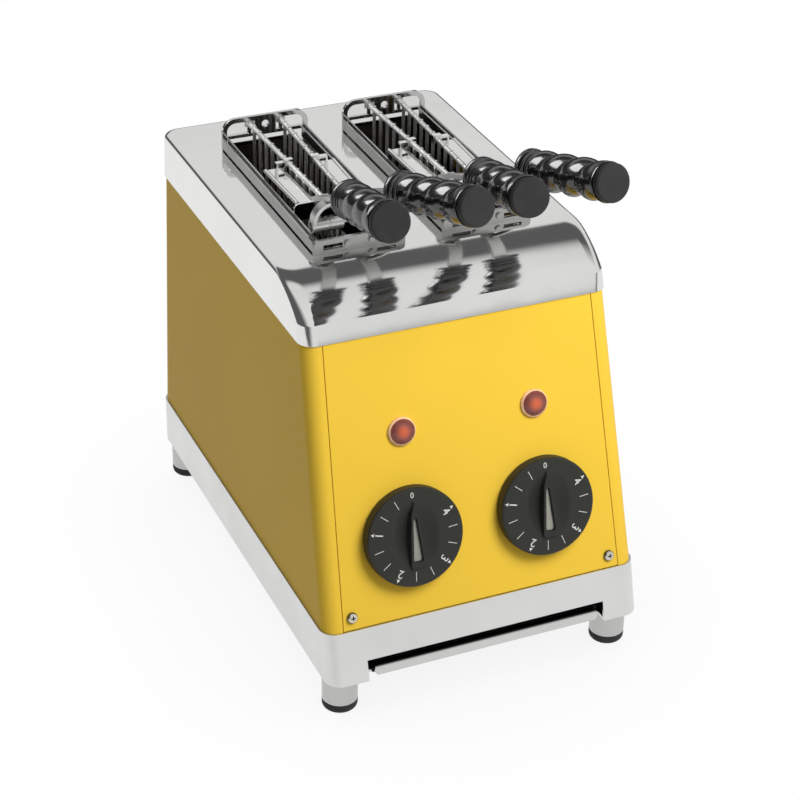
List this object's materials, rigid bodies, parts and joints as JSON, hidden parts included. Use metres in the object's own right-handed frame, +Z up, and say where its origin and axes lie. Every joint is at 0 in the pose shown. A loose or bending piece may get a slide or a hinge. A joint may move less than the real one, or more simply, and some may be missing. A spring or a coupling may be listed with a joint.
{
  "type": "two-slot tong toaster",
  "caption": "Counter-top toaster with vertical slots, lift-out bread tongs with spiral grips, dial timers, pilot lamps and a slide-out crumb tray.",
  "frame": {"origin": "on the floor, below the middle of the whole bounding box", "axes": "+Z up, -Y towards the front panel with the dials, +X to the right as seen from the front"},
  "size_m": [0.19, 0.296, 0.3057],
  "materials": {
    "satin_steel": "satin",
    "gold_paint": "satin, metallic gold",
    "mirror_steel": "mirror polished",
    "rubber": "matt",
    "plain_steel": "plain sheet",
    "quartz": "frosted",
    "ceramic": "matt ceramic",
    "timer_case": "matt",
    "dial_black": "satin",
    "pointer_grey": "matt",
    "lamp_bezel": "gloss",
    "lamp_lens": "gloss",
    "gland_black": "matt",
    "grip_black": "gloss",
    "cap_black": "matt",
    "bright_steel": "bright"
  },
  "bodies": {
    "body": {"base_frame": "satin_steel", "legs": "satin_steel", "rubber_feet": "rubber", "tray_runners": "plain_steel", "left_side_panel": "gold_paint", "right_side_panel": "gold_paint", "back_panel": "gold_paint", "front_panel": "gold_paint", "front_screws": "bright_steel", "back_screws": "bright_steel", "top_cover": "mirror_steel", "front_bulkhead": "plain_steel", "rear_bulkhead": "plain_steel", "left_reflector": "plain_steel", "right_reflector": "plain_steel", "quartz_tubes": "quartz", "ceramic_caps": "ceramic", "timers": "timer_case", "lamp_bezels": "lamp_bezel", "lamp_lenses": "lamp_lens", "terminal_block": "ceramic", "cable_gland": "gland_black"},
    "left_dial": {"left_timer_shaft": "bright_steel", "left_knob": "dial_black", "left_knob_pointer": "pointer_grey"},
    "right_dial": {"right_timer_shaft": "bright_steel", "right_knob": "dial_black", "right_knob_pointer": "pointer_grey"},
    "crumb_drawer": {"crumb_tray": "satin_steel"},
    "left_tong": {"left_tong_hinge_plate": "bright_steel", "left_tong_rails": "bright_steel", "left_tong_front_plate": "bright_steel", "left_tong_cross_plate": "mirror_steel"},
    "left_tong_outer_half": {"left_tong_outer_grid": "bright_steel", "left_tong_outer_wing": "mirror_steel", "left_tong_outer_shank": "bright_steel", "left_tong_outer_grip": "grip_black", "left_tong_outer_cap": "cap_black"},
    "left_tong_inner_half": {"left_tong_inner_grid": "bright_steel", "left_tong_inner_wing": "mirror_steel", "left_tong_inner_shank": "bright_steel", "left_tong_inner_grip": "grip_black", "left_tong_inner_cap": "cap_black"},
    "right_tong": {"right_tong_hinge_plate": "bright_steel", "right_tong_rails": "bright_steel", "right_tong_front_plate": "bright_steel", "right_tong_cross_plate": "mirror_steel"},
    "right_tong_outer_half": {"right_tong_outer_grid": "bright_steel", "right_tong_outer_wing": "mirror_steel", "right_tong_outer_shank": "bright_steel", "right_tong_outer_grip": "grip_black", "right_tong_outer_cap": "cap_black"},
    "right_tong_inner_half": {"right_tong_inner_grid": "bright_steel", "right_tong_inner_wing": "mirror_steel", "right_tong_inner_shank": "bright_steel", "right_tong_inner_grip": "grip_black", "right_tong_inner_cap": "cap_black"}
  },
  "joints": [
    {"name": "left_dial_turn", "type": "hinge", "parent": "body", "child": "left_dial", "pos_m": [-0.03965, -0.12683, 0.09882], "axis": [0, 0.9622, -0.2723], "range_deg": [0, 300]},
    {"name": "right_dial_turn", "type": "hinge", "parent": "body", "child": "right_dial", "pos_m": [0.03965, -0.12683, 0.09882], "axis": [0, 0.9622, -0.2723], "range_deg": [0, 300]},
    {"name": "crumb_drawer_slide", "type": "slide", "parent": "body", "child": "crumb_drawer", "axis": [0, -1, 0], "range_m": [0, 0.2]},
    {"name": "left_tong_lift", "type": "slide", "parent": "body", "child": "left_tong", "axis": [0, 0, 1], "range_m": [0, 0.13]},
    {"name": "left_tong_outer_swing", "type": "hinge", "parent": "left_tong", "child": "left_tong_outer_half", "pos_m": [-0.04745, 0.097, 0.2479], "axis": [0, 0, -1], "range_deg": [-1, 6]},
    {"name": "left_tong_inner_swing", "type": "hinge", "parent": "left_tong", "child": "left_tong_inner_half", "pos_m": [-0.02805, 0.097, 0.2479], "axis": [0, 0, 1], "range_deg": [-1, 0.8]},
    {"name": "right_tong_lift", "type": "slide", "parent": "body", "child": "right_tong", "axis": [0, 0, 1], "range_m": [0, 0.13]},
    {"name": "right_tong_outer_swing", "type": "hinge", "parent": "right_tong", "child": "right_tong_outer_half", "pos_m": [0.04745, 0.097, 0.2479], "axis": [0, 0, 1], "range_deg": [-1, 6]},
    {"name": "right_tong_inner_swing", "type": "hinge", "parent": "right_tong", "child": "right_tong_inner_half", "pos_m": [0.02805, 0.097, 0.2479], "axis": [0, 0, -1], "range_deg": [-1, 0.8]}
  ]
}
